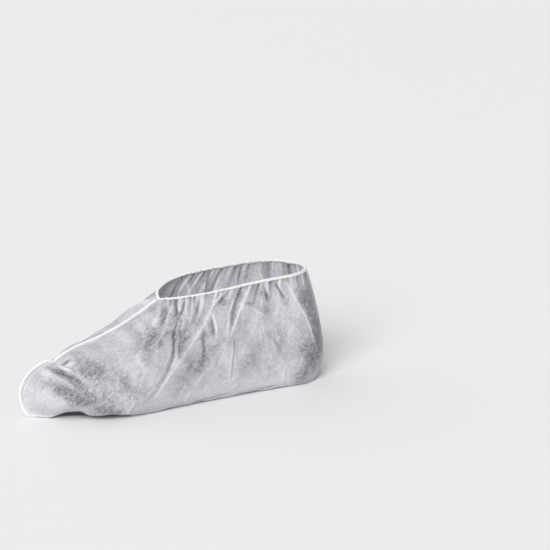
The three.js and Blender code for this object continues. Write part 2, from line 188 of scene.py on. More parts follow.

# %% [markdown]
# ## Creases
# Nonwoven fabric folds like soft paper: flat between sharp crests and valleys, which run from where the
# elastic or a bend pulls it together. A cloth simulation would put them anywhere, so each crease that
# shows is a line on the side view. With it go its height (below 0 for a valley), how strongly its painted
# line shows (a painted highlight on a crest, painted shade in a valley), and how far its slopes reach.

# %% Table of creases
CREASES = {NEAR: [  # height, how strongly its painted line shows (above 0 a highlight, below 0 shade), reach ahead and behind, line of (station, height)
    (-4.2, -0.7, 7, 3.5, [(34, 52.8), (41.5, 48), (48.5, 44.5), (60, 36)]),
    (1.2, 0.7, 1.6, 3, [(39.5, 54.5), (42.5, 52.8), (46.5, 50.2), (51.5, 49.2), (54, 50)]),
    (1.4, 0.2, 7, 4, [(30, 49.5), (42, 41), (50, 34)]),
    (-2.8, -0.4, 7, 6, [(33, 35), (43, 29.5), (62, 22)]),
    (-0.6, -0.9, 1.5, 1.5, [(47.5, 51.5), (52, 54.5), (57, 57)]),
    (0.5, 0.5, 1.5, 1.5, [(48.5, 50), (54, 53), (60, 56)]),
    (-0.5, -0.7, 1.2, 1.2, [(44.5, 53), (48.5, 55.5), (52, 57.5)]),
    (0.9, 0.45, 3, 2, [(153, 101.5), (145, 92.5), (134, 83)]),
    (-1, -0.45, 3, 2.5, [(157, 101), (149, 92), (140, 83)]),
    (0.8, 0.4, 2.5, 2.5, [(160, 102), (154, 95), (147, 86)]),
    (-2.2, -1, 2.4, 2.4, [(165.5, 107), (163, 100.4), (161.6, 93.2)]),
    (-2, -0.9, 2.4, 2.4, [(172.6, 106.5), (167.8, 99.7), (161.6, 93.2)]),
    (0.7, 0.1, 2, 2, [(169, 107), (166, 100), (162.5, 94)]),
    (-1.7, -1, 4.5, 2.5, [
        (161.6, 93.2), (156.3, 85.6), (152.3, 77.7), (151.3, 67.2), (149.7, 56), (144, 44),
    ]),
    (-1.2, -0.2, 6, 3.5, [(150.5, 58), (141.5, 40), (118, 12)]),
    (0.7, 0.35, 2.5, 6, [(166, 92), (158.5, 80), (154.5, 68), (153, 56), (145, 40)]),
    (-1.1, -0.7, 2.2, 2.2, [(164, 92), (160.3, 83), (157.6, 75)]),
    (1, 0.5, 3, 3, [(181, 108), (172, 89), (168, 80)]),
    (-1, -0.5, 2.5, 2.5, [(186, 108), (178, 91)]),
    (0.8, 0.4, 2.5, 2.5, [(191, 109), (184, 95), (180, 88)]),
    (0.9, 0.5, 5, 7, [
        (193.1, 91.7), (184.8, 81.8), (177.6, 73.1), (168.2, 62.7), (154.5, 49.4), (138.6, 32.6), (126, 14),
    ]),
    (-1.2, -0.6, 2.8, 2.8, [(195.5, 91), (197.5, 80), (198, 68)]),
    (-1.2, -0.25, 4, 4, [(187, 78), (186, 62), (186, 48), (178, 38)]),
    (0.9, 0.6, 2.2, 5, [(195, 95), (198.9, 91.4), (200.6, 79.5), (201.6, 66)]),
    (0.9, 0.6, 2.8, 2.8, [(214, 113), (202, 104), (193.8, 95)]),
    (-0.9, -0.5, 2.5, 2.5, [(220, 113), (209, 105), (201, 98)]),
    (0.9, 0.7, 4, 2.5, [(224, 104), (217.3, 91.7), (215, 77.5), (213.2, 60)]),
    (-1, -0.25, 4, 4, [(230, 108), (223, 90), (217, 70)]),
    (1, 0.6, 3, 7, [(240, 112), (231.5, 98), (225, 84.5), (219.1, 70.8), (212, 58)]),
    (-0.6, -0.5, 1.8, 1.8, [(222.4, 62), (221.7, 51.2), (219.1, 36.2), (217.5, 15)]),
    (0.5, 0.35, 1.6, 1.6, [(219.8, 62), (219, 51), (216.5, 36), (215, 16)]),
    (0.6, 0.2, 8, 8, [(192, 41), (168, 15)]),
    (0.7, 0.2, 6, 4, [(147, 84), (134, 73), (120, 62)]),
    (-0.7, -0.2, 4, 5, [(141, 84), (128, 73), (112, 62)]),
    (-0.8, -0.25, 2.4, 2.4, [(234, 99), (243, 97), (256, 98)]),
    (0.9, 0.5, 3, 2.4, [(243, 93.5), (252, 87), (262, 80)]),
    (-1.5, -0.8, 2.5, 2.5, [(259, 113), (262, 104), (263.5, 94)]),
    (0.9, 0.4, 2.5, 2.5, [(264, 113), (265, 98)]),
    (-2.1, -1, 3.5, 2.8, [(274, 113), (279, 103), (285, 94)]),
    (1.9, 0.75, 11, 7.5, [(287, 112), (296.1, 91.5), (306.5, 75.1), (313.4, 55.3), (320, 40), (328, 26)]),
    (-0.5, -0.1, 4, 3, [(287, 77), (298, 67)]),
    (-0.7, -0.2, 5, 5, [(262, 62), (274, 49), (280, 33)]),
    (-0.9, -0.9, 1.6, 1.6, [(176, 1.2), (194, 3.2), (212, 5.9), (224, 6.8)]),
    (-0.8, -0.9, 1.6, 1.6, [(247, 0.8), (261, 4), (276, 4.9)]),
], FAR: [
    (3, 0.1, 8, 8, [(45, 53.5), (58, 57.5), (84, 63)]),
    (-3, -0.7, 8, 7, [(34, 53), (42, 47), (56, 34)]),
    (1.2, 0.2, 8, 5, [(30, 47), (44, 37), (54, 28)]),
    (-2, -0.4, 8, 8, [(29, 33), (44, 27), (60, 20)]),
    (1.2, 0.5, 4, 3, [(152, 101), (140, 88), (128, 74)]),
    (-1.4, -0.6, 4, 3, [(158, 101), (148, 86), (138, 70)]),
    (-2.2, -0.9, 7, 3, [(170, 106), (160, 84), (150, 58), (140, 34)]),
    (1.6, 0.8, 4, 8, [(176, 106), (166, 84), (157, 60), (148, 36)]),
    (-1.6, -0.6, 4, 4, [(197, 110), (188, 82), (180, 54), (178, 34)]),
    (1.6, 0.8, 5, 8, [(206, 110), (199, 84), (196, 56), (188, 30)]),
    (1.3, 0.6, 4, 4, [(206, 110), (212, 92), (213, 70)]),
    (-1.4, -0.6, 5, 4, [(232, 112), (229, 90), (231, 60)]),
    (1.5, 0.7, 5, 7, [(246, 112), (240, 90), (243, 62), (238, 40)]),
    (-1.3, -0.6, 4, 4, [(268, 113), (266, 94), (258, 74)]),
    (1.9, 0.7, 10, 7, [(288, 112), (298, 90), (308, 66), (316, 44), (325, 28)]),
    (-0.8, -0.2, 6, 6, [(262, 60), (276, 46), (284, 30)]),
]}
print("creases, near and far:", [len(rows) for rows in CREASES.values()])

# %% Shape of one crease
LINE_RADIUS = 0.75  # half the width of the painted line of highlight or shade along a crest or a valley
TENT_POWER = 1.5  # above 1, hollow slopes keep the crest sharp
HEAD_SHARE, HEAD_END, FOOT_START = 0.5, 0.15, 0.6  # height at the head, and where it is whole


def grow(share, x, low, high):
    """A smooth rise from a share to 1."""
    return share + (1 - share) * smoothstep(x, low, high)


def beside(line, s, z):
    """How far places lie from a line, on which side of it, and how far along it."""
    line = np.array(line, float)
    nearest, across, along = np.full(s.shape, np.inf), np.zeros(s.shape), np.zeros(s.shape)
    lengths = np.linalg.norm(np.diff(line, axis=0), axis=1)
    for k, (a, b) in enumerate(zip(line[:-1], line[1:])):
        run = b - a
        t = np.clip(((s - a[0]) * run[0] + (z - a[1]) * run[1]) / (run @ run), 0, 1)
        gap = np.hypot(s - a[0] - t * run[0], z - a[1] - t * run[1])
        turn = run[0] * (z - a[1]) - run[1] * (s - a[0])
        closer = gap < nearest
        nearest = np.where(closer, gap, nearest)
        across = np.where(closer, turn, across)
        along = np.where(closer, (lengths[:k].sum() + t * lengths[k]) / lengths.sum(), along)
    return nearest, across, along


def crease(s, z, height, shows, ahead, behind, line):
    """Height of a crease over the smooth sheet, and how strongly its painted highlight or shade shows."""
    nearest, across, along = beside(line, s, z)
    tent = np.clip(1 - nearest / np.where(across < 0, ahead, behind), 0, 1) ** TENT_POWER
    fade = grow(HEAD_SHARE, along, 0, HEAD_END) * (1 - smoothstep(along, FOOT_START, 1))
    return np.stack([height * tent, shows * np.exp(-((nearest / LINE_RADIUS) ** 2))]) * fade


beside_one = crease(np.arange(5), np.zeros(5), 1, 1, 4, 4, [(0, 9), (0, -9)])[0]
print("height at each mm beside a crest of 1 mm:", beside_one.round(2))

# %% [markdown]
# ## Handling marks and slow waves
# Between those creases are many faint ones from packing and pulling on. Their places don't matter, so a
# random generator with a fixed seed gives the same ones each time. Sums of a few sines do the same for
# whatever wanders slowly along a line.

# %% Seeded marks and waves
SEEDS = {"marks": 5, "uneven": 11, "pleats": 20, "roll": 31, "edge": 51}  # each plus the side, -1 or 1
# MARK_SHOWS: how strongly each mark's painted highlight or shade shows, for each mm of its height
MARKS, MARK_SHOWS = 150, 0.25
SINES, SHORTER, WEAKER, SINE_SUM = 6, 0.6, 0.25, 2.2  # each is shorter and weaker than the last


def handling(s, z, seed):
    """Small creases at seeded places and turns, with their painted highlights and shade."""
    rng = np.random.default_rng(seed)
    total = np.zeros((2, *s.shape))
    for _ in range(MARKS):
        head = np.array([rng.uniform(20, 330), rng.uniform(8, 108)])
        turn, length = rng.normal(1.9, 0.7), rng.uniform(8, 26)
        foot = head + length * np.array([math.cos(turn), -abs(math.sin(turn))])
        high = rng.choice([-1, 1]) * rng.uniform(0.15, 0.5)
        ahead = rng.uniform(2, 4.5)
        behind = ahead * rng.uniform(0.7, 1.4)
        total += crease(s, z, high, MARK_SHOWS * high, ahead, behind, [head, foot])
    return total


def waves(x, seed, longest):
    """A smooth seeded line between about -1 and 1, from ever shorter and weaker sines."""
    rng = np.random.default_rng(seed)
    total = 0
    for k in range(SINES):
        phase = 2 * np.pi * (1 + SHORTER * k) * x / longest + rng.uniform(0, 2 * np.pi)
        total = total + math.exp(-WEAKER * k) * np.sin(phase)
    return total / SINE_SUM


print("a wave at each 20 mm:", waves(np.arange(0, 100, 20), 0, 75).round(2))

# %% [markdown]
# ## Gathers
# The elastic is shorter than the edge that it is sewn to, so the cloth bunches into fine pleats, which
# join into wider ones further down. Sculpting them would be slow, so three trains of sharp-crested waves
# with different lengths and reaches make them. Near the throat, where the edge slopes, the pleats hang
# straight down from the binding.

# %% Pleats under the binding
GATHERS = [  # wave length, height, reach below the edge, more height at the throat
    (3.8, 0.35, 6, 1.5),
    (6.6, 0.7, 12, 0.9),
    (17, 0.8, 28, -0.4),
]
THROAT_REACH = 50  # along the edge from the toe seam
HANG_SLANT, HANG_UNTIL = 0.3, (60, 110)  # how far along the edge pleats hang straight down
WANDER, WANDER_LENGTHS = 0.3, 14  # of the pleats' spacing, and over how many of them
CREST_POWER = 0.8  # below 1, crests and valleys are sharp
# painted highlight on the pleats' crests and painted shade in their valleys
CREST_SHOWS, VALLEY_SHOWS = 0.8, 0.9
EVEN, UNEVEN, UNEVEN_LENGTH = 0.75, 0.4, 90  # how the pleats' heights vary along the edge
AT_BINDING, FREE_DEPTH = 0.3, 5  # share of the height in the binding, and where it is whole


def gathers(grid, side):
    """Heights of the pleats on one side, with painted highlights on their crests and painted shade in their
    valleys.
    """
    run = steps(grid[-1:], 1)
    below = steps(grid[::-1])[::-1]
    throat = np.exp(-((run / THROAT_REACH) ** 2))
    uneven = EVEN + UNEVEN * (1 - throat) * waves(run, SEEDS["uneven"] + side, UNEVEN_LENGTH)
    hang = np.interp(grid[..., 0] + HANG_SLANT * below, grid[-1, :, 0], run[0])
    along = run + (hang - run) * (1 - smoothstep(run, *HANG_UNTIL))
    total, painted_lines = np.zeros(below.shape), np.zeros(below.shape)
    for k, (length, height, reach, more) in enumerate(GATHERS):
        wander = WANDER * waves(along, SEEDS["pleats"] + 3 * k + side, WANDER_LENGTHS * length)
        crest = 1 - 2 * np.abs(np.sin(np.pi * (along / length + wander))) ** CREST_POWER
        here = height * (uneven + more * throat) * np.exp(-below / reach)
        total += here * crest * grow(AT_BINDING, below, 0, FREE_DEPTH)
        painted_lines += here * (CREST_SHOWS * np.maximum(crest, 0) ** 3 - VALLEY_SHOWS * np.maximum(-crest, 0) ** 3)
    return total, np.clip(painted_lines, -1, 1)


print("edge to gather:", round(steps(smooth[NEAR][-1])[-1]), "mm a side")

# %% [markdown]
# ## Folding the sheet
# Creases, marks, pleats and a slow swell are heights over the smooth sheet. They die out into the seams,
# the sole's edge and the binding, which hold the cloth. A displacement modifier could push it out, but
# moving each point along its own normal in code keeps every crest where it was drawn. The sole's edge is
# lifted a little, most behind the toe.

# %% Normals and the lifted edge
EDGE_LIFT, EDGE_SWING, EDGE_LENGTH, EDGE_LEVEL = 1.7, 0.7, 70, 0.06  # waves of the sole's edge
TIP_SHARE, TIP = 0.25, (26, 44)
HEEL_LOSS, HEEL = 0.7, (270, 315)
EDGE_MORE = [(1.4, (38, 56), (58, 66)), (2.9, (61, 70), (82, 112))]  # lift, where it rises, where it falls


def normals(grid, side):
    """The way out at each point of a side, in the middle plane on its seams."""
    run, up = np.gradient(grid, axis=1), np.gradient(grid, axis=0)
    n = np.cross(run, up) * -side
    n[:, [0, -1], 1] = 0
    return n / np.maximum(np.linalg.norm(n, axis=-1, keepdims=True), 1e-9)


def edge_lift(s, side):
    """How far the sole's edge is lifted over the smooth form."""
    lift = EDGE_LIFT + EDGE_SWING * waves(s, SEEDS["edge"] + side, EDGE_LENGTH)
    lift = lift * grow(TIP_SHARE, s, *TIP)
    for more, rises, falls in EDGE_MORE:
        lift = lift + more * smoothstep(s, *rises) * (1 - smoothstep(s, *falls))
    return lift * (1 - HEEL_LOSS * smoothstep(s, *HEEL))


print("edge lifted at each 50 mm:", edge_lift(np.arange(0, 350, 50), NEAR).round(1))

# %% Push the cloth out along its normals
TOE_HOLD, HEEL_HOLD = 0.03, 0.975  # shares of the way round between which folds are whole
BINDING_HOLD, BINDING_LEVELS = 0.85, (0.93, 0.985)
SOLE_HOLD = 0.04  # level above which folds are whole
ROLL, ROLL_SLANT, ROLL_LENGTH, ROLL_LEVEL = 0.6, 0.4, 75, 0.3  # the slow swell
SEAM_LIGHT, SEAM_LIGHT_REACH = 0.7, 2  # painted light beside the toe seam, over the shade of the crevice at the fin
LIP_HIGHLIGHT, LIP_HIGHLIGHT_MORE, LIP_LEVEL, LIP_UNTIL = 0.9, 0.8, 0.018, (58, 68)  # painted highlight along the toe's lower edge, stronger where it is lifted


def fold_side(grid, side):
    """One side with its folds, their heights, and their painted lines of highlight and shade."""
    s, z = grid[..., 0], grid[..., 2]
    folds, fold_lines = sum(crease(s, z, *row) for row in CREASES[side])
    marks, mark_lines = handling(s, z, SEEDS["marks"] + side)
    pleats, pleat_lines = gathers(grid, side)
    seams = smoothstep(around, 0, TOE_HOLD) * (1 - smoothstep(around, HEEL_HOLD, 1))
    bound = 1 - BINDING_HOLD * smoothstep(level, *BINDING_LEVELS)
    folds = (folds + marks) * bound * smoothstep(level, 0, SOLE_HOLD)
    roll = ROLL * waves(s + ROLL_SLANT * z, SEEDS["roll"] + side, ROLL_LENGTH)
    roll = roll * smoothstep(level, 0, ROLL_LEVEL) * bound
    height = (folds + pleats + roll) * seams
    seam_light = SEAM_LIGHT * np.exp(-((steps(grid, 1) / SEAM_LIGHT_REACH) ** 2))
    lip_highlight = np.exp(-((level / LIP_LEVEL) ** 2)) * (1 - smoothstep(s, *LIP_UNTIL))
    lip_highlight = lip_highlight * (LIP_HIGHLIGHT + LIP_HIGHLIGHT_MORE * smoothstep(sole_lift(s), 1, 4))
    # painted highlights and shade along creases, marks and pleats, painted light beside the toe seam, and a
    # painted highlight along the toe's edge
    painted_lines = np.clip((fold_lines + mark_lines + pleat_lines) * seams + seam_light, -1, 1) + lip_highlight
    folded = grid + normals(grid, side) * height[..., None]
    edge = edge_lift(s, side) * (1 - smoothstep(level, 0, EDGE_LEVEL)) * seams
    folded[..., 2] = np.maximum(folded[..., 2], 0) + edge
    return folded, height, painted_lines


sheet, heights, painted_crease_lines = {}, {}, {}
for side, grid in smooth.items():
    sheet[side], heights[side], painted_crease_lines[side] = fold_side(grid, side)
    print("side", side, "folds up to", heights[side].max().round(2), "mm")

# %% [markdown]
# ## The sheet as a mesh
# On the real cover both sides and the sole are one sheet, so they are one mesh, without thickness. The
# sides share the points of their seams, and a strip of faces across the bottom makes the sole. Behind the
# toe only its edges are lifted: the rows inside them fold down to the floor. The fold along the edge is
# marked sharp, or smooth shading would round it off.

# %% Points of the sides and the sole
SOLE_SHARES = [0, 0.07, 0.17, 0.28, 0.4, 0.5, 0.6, 0.72, 0.83, 0.93, 1]  # across the sole
SOLE_STEPS = len(SOLE_SHARES) - 1
TUCKED_ROWS = [0.75, 0.2]  # how much of the edge's height the first rows inside it keep


def all_round(values):
    """Values of the near side from toe to heel, then of the far side back."""
    return np.concatenate([values[NEAR], values[FAR][:, -2:0:-1]], axis=1)


ring_grid = all_round(sheet)
rows, ring = ring_grid.shape[:2]
near, far = ring_grid[0, 1:STEPS_AROUND], ring_grid[0, :STEPS_AROUND:-1]
sole = near + (far - near) * np.array(SOLE_SHARES)[1:-1, None, None]
sole[..., 2] = 0
for row, kept in enumerate(TUCKED_ROWS):
    sole[row, :, 2] = kept * near[:, 2]
    sole[-1 - row, :, 2] = kept * far[:, 2]
points = np.concatenate([ring_grid.reshape(-1, 3), sole.reshape(-1, 3)])
print(rows, "rows of", ring, "points, and", sole.shape[:2], "inside the sole")

# %% Faces of the sides and the sole
def sole_point(k, i):
    """Index of a point of the sole: k counts from the near edge, i from the toe."""
    if k == 0 or i in (0, STEPS_AROUND):
        return i
    if k == SOLE_STEPS:
        return ring - i
    return rows * ring + (k - 1) * (STEPS_AROUND - 1) + i - 1


faces = []
for j in range(rows - 1):
    for i in range(ring):
        a, b = j * ring + i, j * ring + (i + 1) % ring
        faces.append((a, b, b + ring, a + ring))
for i in range(STEPS_AROUND):
    for k in range(SOLE_STEPS):
        corners = [sole_point(k, i), sole_point(k + 1, i), sole_point(k + 1, i + 1), sole_point(k, i + 1)]
        corners = list(dict.fromkeys(corners))
        if len(corners) > 2:
            faces.append(tuple(corners))
print("faces of the sheet:", len(faces))

# %% The cloth object
def add_object(name, data):
    """A new object in the scene, at the origin."""
    piece = bpy.data.objects.new(name, data)
    bpy.context.scene.collection.objects.link(piece)
    return piece


def make_mesh(name, points, faces, edges=()):
    """A mesh object in metres, from points in stations and millimetres."""
    mesh = bpy.data.meshes.new(name)
    place = (np.asarray(points) - (MIDDLE, 0, 0)) * MM
    mesh.from_pydata(place.tolist(), list(edges), faces)
    mesh.validate()
    mesh.shade_smooth()
    return add_object(name, mesh)


cloth = make_mesh("cover_cloth", points, faces)
ends = np.empty(2 * len(cloth.data.edges), np.int32)
cloth.data.edges.foreach_get("vertices", ends)
on_fold = (ends.reshape(-1, 2) < ring).all(1)
folded_edges = cloth.data.attributes.new("sharp_edge", "BOOLEAN", "EDGE")
folded_edges.data.foreach_set("value", on_fold)
print(cloth.name, len(cloth.data.vertices), "points,", on_fold.sum(), "sharp edges")

# %% [markdown]
# ## What the finish needs from the mesh
# The cloth is darker and mottled where it lay on the shoe, whose dark showed through it. To that are added
# painted shade in valleys, on the heel's side away from the light and in the tuck under the toe, and
# painted highlights along crests and the toe's edge. These marks could be painted on an image, but numbers
# stored on the points need no file. A UV map gives each point's place on the flat cut sheet, in metres, on
# which the fabric's bonding pattern runs straight.

# %% Table of places darkened by the shoe and by painted shade
PRESSED_AND_SHADED = {NEAR: [  # strength of the darkening where the cloth lay on the shoe, with painted shade (below 0 where the cloth stands free), reach, line of (station, height)
    # the toe's groove and the valley below it: painted shade, with where the cloth lay on the shoe
    (0.85, 2.8, [(41.5, 48), (46.5, 45), (55, 39)]),
    (0.7, 6.5, [(39, 32), (46, 28), (58, 24)]),
    (0.35, 7, [(38, 25), (46, 18)]),
    (0.4, 5, [(54, 49), (62, 47)]),
    (0.3, 4, [(50, 37), (56, 33)]),
    (0.6, 10, [(58, 28), (74, 20)]),
    (0.42, 8, [(22, 41), (36, 37)]),
    (0.14, 7, [(18, 9), (38, 11)]),
    (0.85, 8, [(62, 55), (74, 51)]),
    (0.27, 12, [(68, 40), (96, 32)]),
    (0.8, 5.5, [(68, 12), (88, 8)]),
    (0.18, 6, [(91, 46), (95, 38), (108, 28)]),
    (0.4, 5, [(122, 77), (114, 67)]),
    (0.55, 6, [(136, 81), (128, 69), (120, 58)]),
    (0.55, 6, [(151, 97), (148, 94)]),
    (0.5, 6, [(146, 85), (140, 71)]),
    (1.0, 2.5, [(163, 96), (162, 94)]),
    (0.65, 5, [(156, 78), (156, 58)]),
    (0.5, 7, [(184, 101), (172, 86), (162, 68)]),
    (0.6, 5, [(186, 73), (186, 48)]),
    (0.53, 10, [(183, 44), (168, 43), (161, 32)]),
    (0.55, 4, [(194, 83), (197, 74)]),
    (0.5, 5, [(205, 64), (200, 59)]),
    (0.3, 5, [(227, 96), (220, 79), (215, 64)]),
    (0.3, 11, [(252, 48), (232, 32)]),
    (0.3, 5, [(243, 95), (260, 87)]),
    (0.27, 13, [(270, 62), (288, 52)]),
    (0.6, 4, [(209, 105), (212, 103)]),
    (0.5, 4, [(230, 107), (234, 104)]),
    (0.5, 4, [(258, 104), (263, 101)]),
    # the heel's low corner and its side turned from the key light: painted shade, with where it lay on the
    # shoe
    (0.84, 12, [(306, 38), (312, 21), (304, 7)]),
    (0.87, 10, [(310, 94), (317, 70), (324, 39)]),
    (-0.1, 6, [(158, 103), (205, 110)]),
    (-0.12, 9, [(190, 18), (250, 20)]),
    (0.09, 13, [(98, 60), (120, 72)]),
], FAR: [
    (0.9, 5, [(37, 50), (46, 43), (55, 36)]),
    (0.75, 8, [(36, 32), (47, 27), (60, 22)]),
    (0.6, 9, [(62, 54), (78, 50)]),
    (0.7, 5.5, [(72, 11), (92, 8)]),
    (0.3, 12, [(72, 36), (100, 30)]),
    (0.45, 6, [(126, 72), (116, 58)]),
    (0.5, 6, [(164, 90), (156, 70), (148, 52)]),
    (0.5, 9, [(178, 52), (170, 36)]),
    (0.5, 6, [(202, 92), (196, 66)]),
    (0.5, 5, [(236, 96), (234, 74)]),
    (0.35, 11, [(252, 50), (236, 34)]),
    # the heel, as on the near side: painted shade, with where it lay on the shoe
    (0.75, 12, [(306, 40), (312, 20)]),
    (0.5, 12, [(304, 84), (313, 58), (322, 30)]),
]}
print("pressed places, near and far:", [len(rows) for rows in PRESSED_AND_SHADED.values()])

# %% Darkened places and painted tuck shade
LYING, LYING_FROM, LYING_ABOVE = 0.15, (30, 60), (6, 22)  # darkening where the cloth lay on the shoe: all but the flap and the strip over the sole
FOLD_SHARE, FOLD_LIMITS = 0.3, (-1, 2)  # for each mm of height, painted shade in a valley, and less darkening on a crest
# the sole's share of the darkening: painted shade where it shows in the gap under the toe
SOLE_PRESSED_AND_SHADED = 0.08
TUCK_SHADE, TUCK_HEIGHTS, TUCK_UNTIL = -1.33, (1, 2.6), (95, 120)  # only under the toe and the ball


def pressed_and_shaded(side):
    """How dark each place of one side is made, from 0 to 1: where it lay on the shoe, and painted shade."""
    s, z = sheet[side][..., 0], sheet[side][..., 2]
    total = LYING * smoothstep(s, *LYING_FROM) * smoothstep(z, *LYING_ABOVE)
    total = total - FOLD_SHARE * np.clip(heights[side], *FOLD_LIMITS)
    for strength, reach, line in PRESSED_AND_SHADED[side]:
        total += strength * np.exp(-((beside(line, s, z)[0] / reach) ** 2))
    return np.clip(total, 0, 1)


def painted_tuck_shade():
    """Painted shade on the sole's rows that fold in under its lifted edges."""
    shade = np.zeros(sole.shape[:2])
    count = len(TUCKED_ROWS)
    for edge, tucked in ((0, slice(count)), (-1, slice(-count, None))):
        s, z = sole[edge, :, 0], sole[edge, :, 2]
        shade[tucked] = TUCK_SHADE * smoothstep(z, *TUCK_HEIGHTS) * (1 - smoothstep(s, *TUCK_UNTIL))
    return shade


def put_attribute(name, sides, on_sole):
    """Store a number for each point of the cloth: its two sides, then its sole."""
    values = np.concatenate([all_round(sides).ravel(), np.broadcast_to(on_sole, sole.shape[:2]).ravel()])
    layer = cloth.data.attributes.new(name, "FLOAT", "POINT")
    layer.data.foreach_set("value", values.astype(np.float32))
    print(name, "from", values.min().round(2), "to", values.max().round(2))


put_attribute("pressed_and_shaded", {side: pressed_and_shaded(side) for side in (NEAR, FAR)}, SOLE_PRESSED_AND_SHADED)
put_attribute("crease_light_and_shade", painted_crease_lines, painted_tuck_shade())

# %% Places on the flat cut sheet
up = steps(ring_grid) + np.abs(ring_grid[0, :, 1])
sign = np.where(np.arange(ring) <= STEPS_AROUND, -1, 1)
side_flat = np.stack([ring_grid[..., 0], up * sign], -1).reshape(-1, 2)
flat = np.concatenate([side_flat, sole.reshape(-1, 3)[:, :2]]) * MM
corner_points = np.empty(len(cloth.data.loops), np.int32)
cloth.data.loops.foreach_get("vertex_index", corner_points)
uv = cloth.data.uv_layers.new(name="cut_sheet")
uv.data.foreach_set("uv", flat[corner_points].astype(np.float32).ravel())
print("flat size:", np.ptp(flat, axis=0).round(3), "m")

# %% [markdown]
# ## Building materials from nodes
# A material is a small network of nodes. Wiring each by hand takes many lines, so a few short functions
# make a node, set or link its inputs, and return the output that the next node needs.

# %% Nodes and materials
def fill(tree, node, inputs):
    """Set each input of a node to a value, or link it to another node's output."""
    for name, value in inputs.items():
        if isinstance(value, bpy.types.NodeSocket):
            tree.links.new(value, node.inputs[name])
        else:
            node.inputs[name].default_value = value


def new_material(name, inputs):
    """A material with one principled shader."""
    material = bpy.data.materials.new(name)
    material.use_nodes = True
    shader = material.node_tree.nodes["Principled BSDF"]
    fill(material.node_tree, shader, inputs)
    return material, material.node_tree, shader


def add_node(tree, kind, inputs=None, **settings):
    """A node with its settings and inputs."""
    node = tree.nodes.new(kind)
    for name, value in settings.items():
        setattr(node, name, value)
    fill(tree, node, inputs or {})
    return node


print("materials so far:", len(bpy.data.materials))

# %% Noise, sums and mixes
def noise(tree, vector, scale, detail=4, roughness=0.6, turn=0, stretch=1, distortion=0):
    """Noise of a scale, turned about Y and stretched along X into streaks."""
    where = {"Vector": vector, "Rotation": (0, turn, 0), "Scale": (stretch, 1, 1)}
    turned = add_node(tree, "ShaderNodeMapping", where, vector_type="TEXTURE").outputs["Vector"]
    inputs = {"Vector": turned, "Scale": scale, "Detail": detail, "Roughness": roughness}
    return add_node(tree, "ShaderNodeTexNoise", {**inputs, "Distortion": distortion}).outputs["Fac"]


def math_node(tree, operation, a, b):
    """A sum, product or difference of two numbers."""
    return add_node(tree, "ShaderNodeMath", {0: a, 1: b}, operation=operation).outputs["Value"]


def weighted(tree, a, share, b):
    """A share of a, and the rest of b."""
    first, second = math_node(tree, "MULTIPLY", a, share), math_node(tree, "MULTIPLY", b, 1 - share)
    return math_node(tree, "ADD", first, second)


def ranged(tree, value, source, target=(0, 1)):
    """A value moved from one range to another."""
    inputs = dict(enumerate([value, *source, *target]))
    return add_node(tree, "ShaderNodeMapRange", inputs).outputs["Result"]


def ramp(tree, factor, *stops):
    """A colour ramp with two (place, colour) stops."""
    node = add_node(tree, "ShaderNodeValToRGB", {"Fac": factor})
    for element, (place, colour) in zip(node.color_ramp.elements, stops):
        element.position, element.color = place, (*colour, 1)
    return node.outputs["Color"]


def mix(tree, factor, a, b):
    """A colour or number between two others."""
    return add_node(tree, "ShaderNodeMix", {0: factor, 6: a, 7: b}, data_type="RGBA").outputs[2]


print("helpers:", noise.__name__, mix.__name__)

# %% [markdown]
# ## Spunbond finish
# The fabric is a felt of fine polypropylene fibres. Close up it is cloudy, with short streaks that
# change their way from patch to patch. Where it lay on the shoe, and where shade is painted on, it is
# darker, with thin specks; painted highlights run along crests and painted shade along valleys. A picture
# of cloth could be wrapped on, but noise at a few real sizes has no seams. Thick places are paler and
# smoother. The bump holds the fibres and a fine grid of bonding points, and part of the light goes
# through the thin cloth.

# %% Colour of the cloth
BARE = (0.39, (0.537, 0.544, 0.575)), (0.61, (0.739, 0.745, 0.784))  # from thin places to thick ones
DARKENED = (0.4, (0.106, 0.111, 0.121)), (0.6, (0.405, 0.411, 0.437))  # the same where it lay on the shoe, and as painted shade
# painted highlight mixed in along crests, and painted shade in valleys and tucks
CREST_HIGHLIGHT, CREST_HIGHLIGHT_SHARE = (0.95, 0.955, 0.98, 1), 0.75
VALLEY_SHADE, VALLEY_SHADE_SHARE = (0.05, 0.052, 0.057, 1), -0.75
SPECK_CONTRAST = 1.8
THIN_ROUGH, THICK_ROUGH = 0.92, 0.74

nonwoven, tree, shader = new_material("spunbond_nonwoven", {"Specular IOR Level": 0.2, "Sheen Weight": 0.08})
place = add_node(tree, "ShaderNodeTexCoord").outputs["Object"]
pressed_and_shaded_share = add_node(tree, "ShaderNodeAttribute", attribute_name="pressed_and_shaded").outputs["Fac"]
crease_light_and_shade = add_node(tree, "ShaderNodeAttribute", attribute_name="crease_light_and_shade").outputs["Fac"]

streaks = {"roughness": 0.75, "stretch": 2.2, "distortion": 0.6}
rising = noise(tree, place, 400, turn=-0.8, **streaks)
falling = noise(tree, place, 400, turn=0.6, **streaks)
patches = ranged(tree, noise(tree, place, 90), (0.48, 0.54))
fibre = mix(tree, patches, rising, falling)
grain = noise(tree, place, 800, detail=2)
mottle = weighted(tree, noise(tree, place, 60, distortion=0.3), 0.3, fibre)
thickness = weighted(tree, mottle, 0.87, grain)
specks = noise(tree, place, 480, detail=2, turn=-0.5, stretch=1.9, distortion=1)
shows = math_node(tree, "SUBTRACT", SPECK_CONTRAST, math_node(tree, "MULTIPLY", specks, SPECK_CONTRAST))

bare, darkened = ramp(tree, thickness, *BARE), ramp(tree, thickness, *DARKENED)
